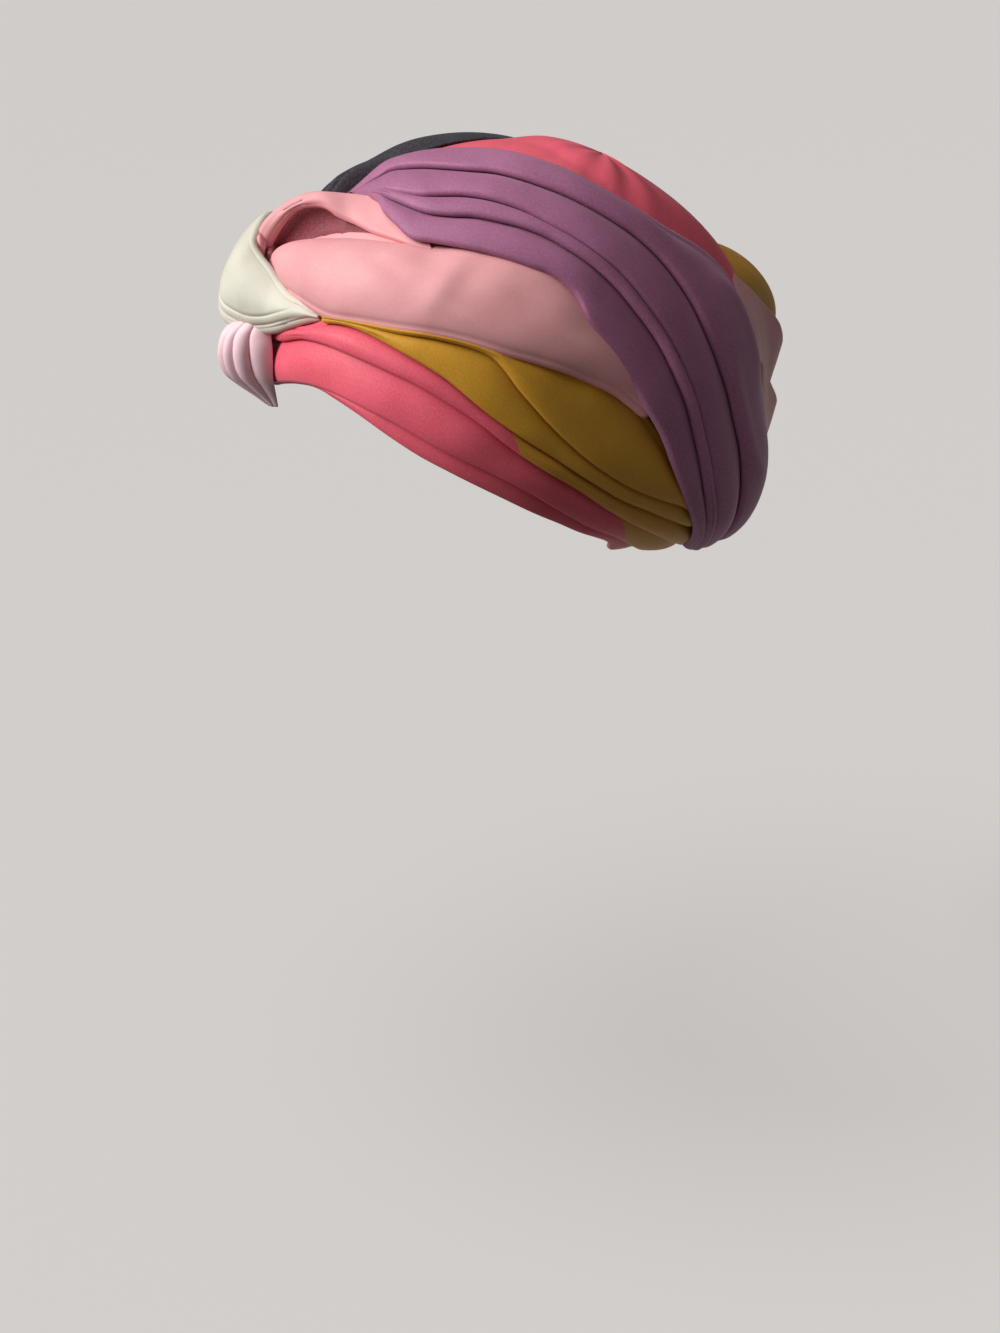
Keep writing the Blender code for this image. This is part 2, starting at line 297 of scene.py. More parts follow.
around, rise = np.meshgrid(np.linspace(0, 360, 241)[:-1], np.linspace(-19, 89.7, 110), indexing="ij")
cap_directions = rim_direction(around, rise)
station, roll = fan_angles(cap_directions)
middle, half_width, height = curve(CROWN_SWELL, station)
swell = height * soft_step(1.25 * (1 - ((roll - middle) / half_width) ** 2))
swell = swell * soft_step((station - 50) / 12)
outside = CAP_OUTSIDE + swell + 0.35 * ripples(around * 1.6, rise * 1.6, 3, 60)
outside = np.where(swell > 0.01, outside, np.minimum(outside, CAP_OUTSIDE))
flat = np.stack([around * 1.75, rise * 1.75, 0 * rise], -1) * MM
crown_cap = cloth_mesh(
    "crown_cap_cloth",
    on_form(cap_directions, outside),
    on_form(cap_directions, outside - CAP_WALL),
    flat,
    closed=True,
)
crown_cap.data.materials.append(coral_jersey)
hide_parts("crown_cap")


# The brow band. A strip of jersey round the head, folded so that a narrow strip at the rim, a
# broad main fold and a thin fold above it lie like tiles. Each fold lies over the one below.
# It is printed coral at the front and mustard towards the nape.
BAND_FLOOR = -2.3
CLOTH = 1.2

# Azimuth round the rim, then heights of rim, lower edge of the main fold, crease, upper edge
BROW = (
    (0, -31.5, -31.0, -19.0, -16.0),
    (10, -28.5, -28.0, -16.8, -13.5),
    (20, -25.1, -24.6, -12.8, -10.2),
    (28, -22.8, -22.2, -10.6, -5.6),
    (36, -22.4, -20.6, -9.2, -3.0),
    (45, -22.5, -19.5, -8.0, -2.1),
    (56, -23.4, -18.8, -6.9, -1.8),
    (66, -24.0, -18.8, -6.8, -2.5),
    (76, -23.8, -18.4, -7.4, -4.1),
    (88, -23.3, -17.5, -9.1, -5.3),
    (100, -22.4, -17.1, -9.7, -5.9),
    (112, -21.5, -17.3, -9.9, -6.4),
    (124, -20.6, -17.3, -10.4, -6.4),
    (134, -19.4, -16.3, -10.1, -5.4),
    (144, -19.0, -15.8, -9.2, -4.1),
    (152, -20.6, -15.6, -8.8, -3.8),
    (160, -20.8, -15.5, -8.5, -4.0),
    (170, -19.0, -15.0, -8.2, -4.3),
    (180, -18.0, -14.5, -8.0, -4.5),
)

# Where the print turns from coral to mustard on each fold from the rim up: azimuth at the
# fold's top, height of its top, and how far the line leans back for each degree down
BROW_PRINT = (
    (152, -16.0, 0.0),
    (131, -11.0, 2.4),
    (83, -4.7, 1.6),
)


class Fold_Line:
    """The line of a folded cloth across a band, built up point by point at all stations."""

    def __init__(self, like):
        self.like, self.across, self.height, self.fold = 0 * like, [], [], []

    def lay(self, across, height, fold):
        self.across.append(across + self.like)
        self.height.append(height + self.like)
        self.fold.append(fold + self.like)

    def grids(self):
        return [np.stack(rows, -1) for rows in (self.across, self.height, self.fold)]


def folded_line(edges, layers, swell, hem=8.0, tuck=4.5, fullness=2.4, top="tucked"):
    """Line of a cloth folded like tiles, from its hidden hem to its upper edge.

    edges holds the distances across, in millimetres, of the folds from the lowest up, with the
    band's upper edge last. layers holds, for each fold, the heights of its hidden and its shown
    face, and swell how far the shown face bulges. fullness is how late the face falls away.
    """
    line = Fold_Line(edges[0])
    pleats = len(edges) - 1
    for index in range(pleats):
        hidden, shown = layers[index]
        lower, upper = edges[index], edges[index + 1]
        width = upper - lower
        bend = np.minimum((shown - hidden) / 2, 0.3 * width)
        middle = (hidden + shown) / 2
        if index == 0:
            for part in np.linspace(1, 0, 5)[:-1]:
                line.lay(lower + bend + part * np.minimum(hem, 0.6 * width), hidden, index)
        for angle in np.linspace(-90, 90, 11):
            swing = math.radians(angle)
            rise = (shown - hidden) / 2 * math.sin(swing)
            line.lay(lower + bend - bend * math.cos(swing), middle + rise, index)
        last = index == pleats - 1
        if last and top == "rolled":
            seen, end = width - bend, shown
        else:
            seen, end = width, 0.75 if last else layers[index + 1][0] - 1.45
        reach = lower + seen + (0 if last and top == "rolled" else np.minimum(tuck, 0.45 * width))
        for part in np.linspace(0, 1, 27)[1:]:
            fall = end + (shown - end) * (1 - part ** fullness)
            bulge = swell[index] * math.sin(math.pi * part ** 0.85) ** 0.9
            line.lay(lower + bend + part * (seen - bend), fall + bulge, index)
        if not (last and top == "rolled"):
            for part in np.linspace(0, 1, 5)[1:]:
                line.lay(lower + seen + part * (reach - lower - seen), end, index)
        if last and top == "rolled":
            for angle in np.linspace(90, -90, 9)[1:]:
                swing = math.radians(angle)
                line.lay(reach + bend * math.cos(swing), shown - bend + bend * math.sin(swing), index)
            for part in np.linspace(0, 1, 5)[1:]:
                line.lay(reach - part * np.minimum(hem, 0.5 * width), shown - 2 * bend, index)
        elif not last:
            turn, following = layers[index + 1]
            for angle in np.linspace(-90, 90, 7)[1:-1]:
                swing = math.radians(angle)
                line.lay(reach + 0.7 * math.cos(swing), (end + turn) / 2 + 0.72 * math.sin(swing), index)
            landing = upper + np.minimum((following - turn) / 2, 0.3 * (edges[index + 2] - upper))
            for part in np.linspace(0, 1, 5)[:-1]:
                line.lay(reach + part * (landing - reach), turn, index + 1)
    return line.grids()


def lay_band(name, along, travel, scale, origin, section, place, seed, floor=(BAND_FLOOR, BAND_FLOOR),
             unevenness=0.3, dents=(), ridges=(), flatten=1.0, print_and_painted_shade=None, closed=False):
    """Thicken a folded line into a cloth and lay it on the form, one ring for each station.

    travel is each station's distance along the cloth and scale its millimetres for each
    degree across, from the angle in origin. place turns a station and an angle across into a
    unit vector. floor is the height of the band's seat at its lower and its upper edge. Each
    dent has a station, an angle across, its two half widths in millimetres and its height. Each
    ridge has a half width, a height and its rows of station and angle across. flatten scales
    the band's thickness at each station, where it is drawn in under another.
    """
    across, height, fold = section
    step_across, step_height = np.gradient(across, axis=1), np.gradient(height, axis=1)
    length = np.hypot(step_across, step_height) + 1e-9
    run = np.cumsum(length, axis=1)
    along_grid = along[:, None] + 0 * across
    travel_grid = travel[:, None] + 0 * across
    flatten = flatten + 0 * along[:, None]
    spread = np.clip(across / across.max(axis=1, keepdims=True), 0, 1)
    seat = floor[0] + (floor[1] - floor[0]) * spread
    faces = []
    for side in (0.5, -0.5):
        moved = across - side * CLOTH * step_height / length
        angle = origin[:, None] + moved / scale[:, None]
        rough = unevenness * ripples(travel_grid, moved, seed, 45)
        for station, middle, reach_along, reach_across, depth in dents:
            off_along = (along_grid - station) * np.gradient(travel, along)[:, None] / reach_along
            off_across = (angle - middle) * scale[:, None] / reach_across
            rough = rough + depth * np.exp(-off_along ** 2 - off_across ** 2)
        for half, rise, path in ridges:
            middle = curve(path, along_grid)[0]
            inside = soft_step((along_grid - path[0][0]) / 8) * soft_step((path[-1][0] - along_grid) / 8)
            rough = rough + rise * inside * np.exp(-((angle - middle) * scale[:, None] / half) ** 2)
        lift = (height + side * CLOTH * step_across / length) * flatten
        faces.append(on_form(place(along_grid, angle), seat + lift + rough * np.clip(lift / 3, 0, 1)))
    weave = np.stack([travel_grid, run, 0 * run], -1) * MM
    lines = None
    if print_and_painted_shade:
        lines = print_and_painted_shade(along_grid, fold, origin[:, None] + across / scale[:, None]) * MM
    return cloth_mesh(name, faces[0], faces[1], weave, lines, closed)


def band_edges(rows, along, scale):
    """Millimetres across at each of a table's angles, from its first column's angle."""
    angles = curve(rows, along)
    return angles[0], [(angle - angles[0]) * scale for angle in angles]


MUSTARD = (0.58, 0.285, 0.008)
MUSTARD_SHADE = (0.50, 0.235, 0.005)
brow_jersey = jersey("brow_jersey", CORAL, CORAL_SHADE, other=MUSTARD, other_shade=MUSTARD_SHADE)


def brow_print(azimuth, fold, across):
    """Millimetres past the line where the brow band's print turns to mustard."""
    start, top, lean = np.moveaxis(np.array(BROW_PRINT, float)[fold.astype(int)], -1, 0)
    return (np.abs(azimuth) - start - lean * (top - across)) * 1.8


azimuths = np.linspace(-180, 180, 301)[:-1]
scale = np.full_like(azimuths, 1.75)
origin, edges = band_edges(BROW, np.abs(azimuths), scale)
wander = ripples(azimuths * 1.9, 0 * azimuths, 11, 120)
layers = ((0.9, 3.0), (2.6, 5.3 + 0.3 * wander), (2.8, 5.4 - 0.3 * wander))
swell = (0.3, 0.9 + 0.4 * wander, 0.4)
brow_band = lay_band(
    "brow_band_cloth", azimuths, azimuths * 1.9, scale, origin,
    folded_line(edges, layers, swell), rim_direction, 12, print_and_painted_shade=brow_print, closed=True,
)
brow_band.data.materials.append(brow_jersey)
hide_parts("brow_band")


# The side pleats. Each side has a wedge of mustard jersey folded in two, which opens above the
# brow band from the temple and closes again under the fan behind the ear.
# Azimuth, then heights of lower edge, crease and upper edge
SIDE_PLEATS = (
    (26, -6.0, -5.2, -4.6),
    (32, -3.7, -3.1, -2.6),
    (38, -2.4, -1.1, -0.5),
    (46, -1.8, 1.7, 2.5),
    (54, -1.5, 5.2, 6.0),
    (62, -1.7, 8.0, 9.0),
    (69, -2.8, 9.2, 10.8),
    (74, -3.7, 8.0, 12.2),
    (80, -4.5, 5.6, 14.0),
    (86, -5.0, 3.7, 15.5),
    (92, -5.3, 1.9, 16.6),
    (100, -5.6, 0.0, 17.2),
    (108, -6.0, -1.4, 16.5),
    (116, -6.2, -2.1, 14.7),
    (124, -6.2, -2.2, 11.0),
    (133, -5.2, -1.2, 6.0),
    (140, -4.5, -0.2, 4.0),
    (147, -3.6, -0.9, 1.5),
)
mustard_jersey = jersey("mustard_jersey", MUSTARD, MUSTARD_SHADE)

azimuths = np.linspace(26, 147, 110)
scale = np.full_like(azimuths, 1.75)
origin, edges = band_edges(SIDE_PLEATS, azimuths, scale)
section = folded_line(edges, ((2.5, 4.8), (2.8, 5.2)), (0.4, 0.7), tuck=3.5)
for side, turn in (("left", 1), ("right", -1)):
    pleats = lay_band(
        "side_pleats_cloth_" + side, azimuths, azimuths * 1.9, scale, origin, section,
        lambda azimuth, across: rim_direction(turn * azimuth, across), 20 + turn,
    )
    pleats.data.materials.append(mustard_jersey)
    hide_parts("side_pleats_" + side)


# The puffed bands. On each side a loose band of jersey runs back from the knot over the
# temple, rose on the left and sage on the right. Its lower edge rolls over the pleats below,
# and its upper edge is tucked under the fan.
# Azimuth, then heights of lower and upper edge, and how far it puffs out
PUFFED = (
    (-9, -3.0, 1.5, 1.0),
    (-5, -4.6, 3.6, 3.0),
    (-1, -5.2, 6.4, 5.0),
    (6, -5.4, 9.6, 6.0),
    (13, -5.3, 12.4, 6.2),
    (19, -5.1, 15.0, 6.2),
    (28, -4.5, 19.0, 6.0),
    (37, -1.3, 23.5, 5.5),
    (46, 2.2, 29.0, 5.2),
    (54, 5.7, 32.5, 5.0),
    (62, 8.6, 35.5, 5.0),
    (72, 11.2, 38.0, 5.0),
    (82, 14.0, 35.5, 4.8),
    (93, 16.0, 31.0, 4.5),
    (106, 16.6, 26.0, 3.2),
    (117, 14.6, 20.0, 1.5),
)
PUFF_DENTS = (
    (42, 22, 8, 9, -1.5),
    (50, 17, 6, 14, 1.3),
    (37, 13, 13, 4, -1.0),
    (60, 13, 20, 3, 0.6),
    (76, 24, 24, 4, -0.7),
)
ROSE = (0.76, 0.355, 0.370)
ROSE_SHADE = (0.70, 0.300, 0.315)
SAGE = (0.63, 0.61, 0.51)
SAGE_SHADE = (0.55, 0.53, 0.44)
rose_jersey = jersey("rose_jersey", ROSE, ROSE_SHADE)
sage_jersey = jersey("sage_jersey", SAGE, SAGE_SHADE)


def puffed_line(width, puff):
    """Line of a loose band: hem, rolled lower edge, round face and an upper edge rolled in."""
    line = Fold_Line(width)
    bend = np.minimum(2.4, 0.25 * width)
    for part in np.linspace(1, 0, 6)[:-1]:
        line.lay(bend + part * np.minimum(9.0, 0.5 * width), 1.0, 0)
    for angle in np.linspace(-90, 90, 13):
        swing = math.radians(angle)
        line.lay(bend - bend * math.cos(swing), 1.0 + bend + bend * math.sin(swing), 0)
    for part in np.linspace(0, 1, 41)[1:]:
        round_face = math.sin(math.pi * part ** 0.9) ** 0.62 if part < 1 else 0.0
        fall = (1.0 + 2 * bend) * (1 - part ** 3) + 1.4 * part ** 3
        line.lay(bend + part * (width - bend), fall + puff * round_face, 0)
    for part in np.linspace(0, 1, 6)[1:]:
        line.lay(width + part * np.minimum(5.0, 0.2 * width), 1.4 - 0.5 * part, 0)
    return line.grids()


for side, turn, first, cloth, slot, flat_size in (
    ("left", 1, -9, rose_jersey, "rose_cloth", (0.065, 0.22)),
    ("right", -1, 23, sage_jersey, "sage_cloth", (0.06, 0.18)),
):
    azimuths = np.linspace(first, 117, 140)
    scale = np.full_like(azimuths, 1.75)
    lower, upper, puff = curve(PUFFED, azimuths)
    puffed = lay_band(
        "puffed_band_cloth_" + side, azimuths, azimuths * 1.9, scale, lower,
        puffed_line((upper - lower) * scale, puff),
        lambda azimuth, across: rim_direction(turn * azimuth, across), 30 + turn, dents=PUFF_DENTS,
    )
    puffed.data.materials.append(cloth)
    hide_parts("puffed_band_" + side)


# The fans. On each side a broad strip of jersey comes out from under the knot, is gathered in
# four or three pleats and sweeps back over the puffed band to the nape, plum on the left and
# charcoal on the right. Each upper pleat lies over the one below it.
# Degrees from the forehead pole, then roll of lower edge, creases and top edge
LEFT_FAN = (
    (8, -34, -31, -27, 18, 45),
    (14, -51, -49, -46, -9, 31),
    (18, -59, -54, -49, -13, 23),
    (22, -68, -58, -51.5, -20, 16),
    (28, -73, -61, -53, -28, 4),
    (33, -75, -61.5, -51, -32, -4),
    (38, -72, -59.5, -49, -34, -10),
    (43, -69, -56.5, -48, -34.5, -15),
    (49, -66, -54.5, -47.5, -35.5, -20),
    (54, -64, -53, -47.5, -36, -23),
    (60, -62, -52, -48, -36, -25),
    (66, -60, -51.7, -48, -36, -26.5),
    (73, -60, -51.3, -48, -35.8, -27),
    (80, -63, -51.3, -48, -35.5, -26.5),
    (88, -64, -52, -49, -36, -25),
    (97, -65, -53, -50.3, -38, -21.5),
    (106, -66, -55, -52, -40.8, -18.5),
    (116, -67, -57.3, -54.3, -43, -19.5),
    (126, -69.5, -61, -57.5, -45.5, -22.5),
    (136, -71, -65.5, -62, -48.5, -25),
    (146, -71, -68.3, -65.3, -53, -27),
    (156, -71, -69.5, -67, -58, -40),
)
RIGHT_FAN = (
    (9, -112, -104, -96, -88),
    (13, -92, -84, -76, -68),
    (18, -76, -70, -62, -54),
    (24, -70, -61, -52, -44),
    (32, -71, -57, -45, -34),
    (45, -67, -52, -40, -27),
    (60, -60, -50, -37, -22),
    (80, -62, -49, -36, -19),
    (100, -64, -52, -38, -17),
    (120, -67, -56, -42, -17),
    (136, -70, -62, -48, -22),
    (148, -71, -66, -53, -25),
    (156, -71, -68, -58, -38),
)
PLUM = (0.36, 0.125, 0.240)
PLUM_SHADE = (0.30, 0.098, 0.195)
CHARCOAL = (0.034, 0.029, 0.042)
CHARCOAL_SHADE = (0.024, 0.021, 0.030)
OVER_BAND = 3.0
plum_jersey = jersey("plum_jersey", PLUM, PLUM_SHADE, sheen=0.25)
charcoal_jersey = jersey("charcoal_jersey", CHARCOAL, CHARCOAL_SHADE)

# Half width, height and course of the soft ridges that run along the topmost pleat
LEFT_RIDGES = (
    (5, 1.6, ((98, -28), (109, -26), (119, -29), (128, -32))),
    (4, 1.4, ((112, -38), (120, -42), (128, -44), (137, -45), (147, -40))),
    (6, 0.8, ((40, -22), (60, -30), (80, -31), (96, -31))),
)

for side, turn, rows, cloth, slot, seed, ridges in (
    ("left", -1, LEFT_FAN, plum_jersey, "plum_cloth", 41, LEFT_RIDGES),
    ("right", 1, RIGHT_FAN, charcoal_jersey, "charcoal_cloth", 42, ()),
):
    stations = np.linspace(rows[0][0], rows[-1][0], 200)
    scale = 110 * np.sin(np.radians(stations)) * math.pi / 180
    origin, edges = band_edges(rows, stations, scale)
    wander = ripples(stations * 2, 0 * stations, seed, 90)
    layers = [(0.9, 3.9)] + [(2.9, 5.6)] * (len(rows[0]) - 3)
    swell = [0.7, 0.4, 0.5 + 0.3 * wander, 1.0 + 0.5 * wander][-len(layers):]
    fan = lay_band(
        "fan_cloth_" + side, stations, stations * 2.1, scale, origin,
        folded_line(edges, layers, swell), lambda station, across: fan_direction(station, turn * across),
        seed, floor=(OVER_BAND, BAND_FLOOR), ridges=ridges,
        flatten=0.3 + 0.7 * soft_step((stations[:, None] - 8) / 12),
    )
    fan.data.materials.append(cloth)
    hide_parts("fan_band_" + side)


# The front arch. The rose jersey that comes out from under the plum fan turns in along its
# edge, rises over the knot as a soft roll and drops behind the sage loop. Inside the roll
# the cloth runs back under the puffed band, so that a deep dark hollow shows; its wall there
# is also painted maroon as painted shade.
CLOTH_HALF = 0.6

# Place along the arch, then x, y and z of its outer and of its inner edge
ARCH = (
    (0, 46, -40, 88, 63, -39, 75),
    (1, 36, -47, 91, 57, -46, 77),
    (2, 27, -51, 91.5, 48, -53, 79),
    (3, 20, -56, 92.5, 38, -60, 81),
    (4, 15, -65, 93.5, 26, -66, 83.5),
    (5, 12, -76, 94.5, 19, -73.5, 87),
    (6, 8, -83, 92.5, 12, -79, 87.5),
    (7, 3, -88.5, 89, 4, -86, 84.5),
    (8, -3, -94, 84, -3, -92, 76.5),
    (9, -9, -99.5, 76, -9, -95, 67.5),
    (10, -12, -102, 66, -12, -96, 59),
)
# Painted shade: deep maroon laid into the wall inside the arch's roll, where the hollow is in shadow.
HOLLOW_PAINTED_SHADE = (0.22, 0.030, 0.045)
HOLLOW_PAINTED_SHADE_DEEP = (0.15, 0.020, 0.032)


def strip_frame(rows, count):
    """Upper edge, direction across, direction outwards and width of a strip, in millimetres."""
    at = np.linspace(rows[0][0], rows[-1][0], count)
    edges = curve(rows, at).T
    upper, lower = edges[:, :3], edges[:, 3:]
    width = np.linalg.norm(lower - upper, axis=1)
    across = (lower - upper) / width[:, None]
    path = np.gradient((upper + lower) / 2, axis=0)
    out = np.cross(path, across)
    out /= np.linalg.norm(out, axis=1)[:, None]
    facing = np.sign(np.sum(out * (upper - np.array([0, -60, 50])), axis=1))
    return at, upper, across, out * facing[:, None], width


def thicken(name, grid, half=CLOTH_HALF, print_and_painted_shade=None):
    """Cloth from a grid of points in millimetres, with half its thickness to each side."""
    along, across = np.gradient(grid, axis=0), np.gradient(grid, axis=1)
    normal = np.cross(along, across)
    normal /= np.linalg.norm(normal, axis=2)[..., None] + 1e-9
    run = np.cumsum(np.linalg.norm(across, axis=2), axis=1)
    travel = np.cumsum(np.linalg.norm(along, axis=2).mean(axis=1))[:, None] + 0 * run
    weave = np.stack([travel, run, 0 * run], -1) * MM
    return cloth_mesh(name, (grid + half * normal) * MM, (grid - half * normal) * MM, weave, print_and_painted_shade)


def section_points(upper, across, out, points):
    """Grid of points from pairs of distance across and distance outwards."""
    rows = [upper + a[:, None] * across + h[:, None] * out for a, h in points]
    return np.stack(rows, 1)


arch_jersey = jersey("arch_jersey", ROSE, ROSE_SHADE, other=HOLLOW_PAINTED_SHADE, other_shade=HOLLOW_PAINTED_SHADE_DEEP)
at, upper, across, out, width = strip_frame(ARCH, 90)
roll = np.minimum(curve(((0, 1.0), (3, 1.3), (5, 2.2), (10, 2.6)), at)[0], 0.45 * width)
section = []
for part in np.linspace(1, 0, 4)[:-1]:
    section.append((roll + part * 3, -2 * roll))
for angle in np.linspace(-90, 90, 11):
    swing = math.radians(angle)
    section.append((roll - roll * math.cos(swing), -roll + roll * math.sin(swing)))
for part in np.linspace(0, 1, 14)[1:-1]:
    section.append((roll + part * (width - 2 * roll), 0.5 * math.sin(math.pi * part) + 0 * width))
for angle in np.linspace(90, -60, 10):
    swing = math.radians(angle)
    section.append((width - roll + roll * math.cos(swing), -roll + roll * math.sin(swing)))
grid = section_points(upper, across, out, section)
lip_end = grid[:, -1]


def seat_on_form(points, offset):
    """Points in millimetres moved to an offset from the form, along their own directions."""
    direction = points / np.linalg.norm(points, axis=-1)[..., None]
    return on_form(direction, offset) / MM


under = seat_on_form(upper + 0.2 * width[:, None] * across, -1.2)
below = seat_on_form(upper + (width + 17)[:, None] * across, -1.2)
wall = []
for part in np.linspace(0, 1, 26)[1:]:
    wall.append((1 - part) ** 2 * lip_end + 2 * part * (1 - part) * under + part ** 2 * below)
grid = np.concatenate([grid, np.stack(wall, 1)], 1)
inward = np.arange(grid.shape[1])[None, :] - 30
# Painted shade: from the inner side of the roll into the wall the cloth turns maroon, less so where the arch
# comes out from under the plum fan.
painted_hollow_shade = soft_step(inward / 12) * (1 - 0.75 * soft_step((4.5 - at[:, None]) / 3))
print_and_painted_shade = (painted_hollow_shade - 0.5) * 0.0005
front_arch = thicken("front_arch_cloth", grid, print_and_painted_shade=print_and_painted_shade)
front_arch.data.materials.append(arch_jersey)
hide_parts("front_arch")


# The knot loop. The sage jersey from the right side crosses the front in a broad band, wraps
# down over the gather and narrows to a tip that is tucked in under the rose band. Its lower
# edge is doubled, so that two fine folds run beside it.
# Place along the loop, then x, y and z of its upper and of its lower edge
LOOP = (
    (0, -44, -77, 72, -44, -84, 46),
    (1, -34, -87, 77, -34, -102, 49),
    (2, -25, -94, 79, -25, -114, 50),
    (3, -18, -99, 77, -18, -119, 44),
    (4, -12, -103, 74, -12, -121.5, 38),
    (5, -6, -105.5, 70, -6, -121, 34),
    (6, 0, -104, 65, 0, -117, 31.5),
    (7, 7, -101, 60, 7, -111.5, 30),
    (8, 15, -98.5, 54, 15, -104.5, 31.5),
    (9, 24, -96, 50, 24, -99, 35),
    (10, 33, -91, 48, 33, -92.5, 39),
    (11, 41, -86, 45, 41, -86, 42),
)
at, upper, across, out, width = strip_frame(LOOP, 130)
edge = np.minimum(1.8, 0.3 * width)
hem = np.minimum(2.6, 0.4 * width)
bulge = curve(((0, 1), (3, 3.5), (6, 6.0), (8, 4.0), (11, 1.0)), at)[0]
crease = curve(((0, 0), (2, 0.6), (4, 1.1), (8, 0.9), (10, 0)), at)[0]
section = []
for part in np.linspace(1, 0, 6)[:-1]:
    section.append((edge + part * np.minimum(7, 0.6 * width), -2 * edge - part * 1.5))
for angle in np.linspace(-90, 90, 11):
    swing = math.radians(angle)
    section.append((edge - edge * math.cos(swing), -edge + edge * math.sin(swing)))
for part in np.linspace(0, 1, 72)[1:-1]:
    distance = edge + part * (width - edge - hem)
    from_hem = width - hem - distance
    groove = np.exp(-((from_hem - 1.5) / 0.7) ** 2) + 0.8 * np.exp(-((from_hem - 5.5) / 0.8) ** 2)
    lift = bulge * math.sin(math.pi * part) ** 0.8
    section.append((distance, lift - crease * groove))
for angle in np.linspace(90, -90, 13):
    swing = math.radians(angle)
    section.append((width - hem + hem * math.cos(swing), -hem + hem * math.sin(swing)))
for part in np.linspace(0, 1, 6)[1:]:
    section.append((width - hem - part * np.minimum(9, 0.6 * width), -2 * hem))
knot_loop = thicken("knot_loop_cloth", section_points(upper, across, out, section))
knot_loop.data.materials.append(sage_jersey)
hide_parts("knot_loop")


# The knot gather. The end of the front cloth, blush outside, is drawn together in upright
# folds below the loop and pushed in under the rim. Coral is painted into the creases between
# them as painted shade.
# Height z, back y, half width and depth of the bundle, depth of its creases
GATHER = (
    (36, -101, 10, 12, 1.0),
    (30, -102, 12, 19, 1.8),
    (24, -102, 13.5, 22, 2.8),
    (17, -102, 13.5, 22.5, 3.2),
    (10, -102, 12.5, 20, 3.2),
    (4, -101, 11, 14.5, 2.6),
    (-1, -100, 9.5, 9, 1.8),
    (-6, -99, 8, 4, 0.8),
)
# Where the creases stand round the bundle, in degrees to the left of its front
CREASES = (-64, -34, -8, 17, 40, 68)
BLUSH = (0.84, 0.62, 0.66)
BLUSH_SHADE = (0.78, 0.52, 0.57)
# The coral second colour here is painted crease shade, not a print.
gather_jersey = jersey("gather_jersey", BLUSH, BLUSH_SHADE, other=CORAL, other_shade=CORAL_SHADE)

height = np.linspace(36, -6, 70)
back, half_width, depth, fold = [value[:, None] for value in curve(sorted(GATHER), height)]
swing = np.linspace(-90, 90, 181)[None, :]
lean = 5 * np.sin((height[:, None] - 10) / 18)
ends = (-100,) + CREASES + (100,)
crest = np.ones_like(swing + lean)
for low, high in zip(ends[:-1], ends[1:]):
    place = (swing + lean - low) / (high - low)
    inside = (place >= 0) & (place <= 1)
    crest = np.where(inside, np.sin(math.pi * np.clip(place, 0, 1)) ** 0.55, crest)
pull = fold * (1 - crest)
side_x = (half_width - pull) * np.sin(np.radians(swing)) 
front_y = back - (depth - pull) * np.cos(np.radians(swing)) ** 0.8
rings = np.stack([side_x, front_y, height[:, None] + 0 * side_x], -1)
# Painted shade: the cloth turns coral in the creases, away from the crests of the folds.
gather_crease_shade = (0.32 - crest) * 0.0012
knot_gather = thicken("knot_gather_cloth", rings, half=0.5, print_and_painted_shade=gather_crease_shade)
knot_gather.data.materials.append(gather_jersey)
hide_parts("knot_gather")


# The pieces tucked in at the back. The ends of the bands are pulled through at the nape: a
# mustard lobe puffs out on top, and two rose flaps, each with a crisp folded upper edge, are
# tucked in from the left and lie one over the other against it.
# Azimuth, then heights of lower and upper edge, and how far the lobe puffs out
BACK_LOBE = (
    (163, 49, 54, 0.5),
    (168, 45, 56, 5.0),
    (174, 41, 57, 13.0),
    (180, 35, 57, 21.0),
    (186, 29, 57, 23.5),
    (192, 25, 55, 22.0),
    (198, 24, 50, 15.0),
    (203, 28, 44, 4.0),
    (205, 31, 42, 0.5),
)
# Azimuth, then heights of lower and upper edge, and how far each edge stands off
UPPER_FLAP = (
    (158, 44, 57, 1.0, 1.6),
    (162, 31, 51, 1.0, 3.2),
    (168, 27, 47, 1.5, 6.5),
    (174, 23, 42.5, 4.0, 12.0),
    (179, 20, 37, 7.0, 21.0),
    (183, 18, 32.5, 8.0, 24.0),
    (188, 16, 29, 7.0, 20.0),
    (194, 15, 26, 3.0, 9.0),
    (198, 14, 23, 1.0, 3.0),
)
LOWER_FLAP = (
    (161, 15, 33, 1.0, 2.8),
    (169, 11, 30, 1.0, 4.5),
    (174, 9, 27, 1.0, 9.0),
    (180, 7, 23, 1.5, 16.0),
    (184, 6, 20.5, 1.5, 15.0),
    (190, 5, 17, 1.2, 9.0),
    (195, 4, 14, 1.0, 3.0),
)


def lobe_line(width, puff):
    """Line of a puffed lobe: hem, steep lower side, round crown and a long slope to its top."""
    line = Fold_Line(width)
    for part in np.linspace(0.3, 0, 5)[:-1]:
        line.lay(part * width, 1.0, 0)
    for part in np.linspace(0, 1, 60):
        line.lay((0.5 - 0.5 * math.cos(math.pi * part)) * width, 1.0 + puff * lobe_rise(part), 0)
    return line.grids()


def lobe_rise(part):
    place = 0.5 - 0.5 * math.cos(math.pi * part)
    return math.sin(math.pi * place ** 0.62) ** 0.75 if 0 < place < 1 else 0.0


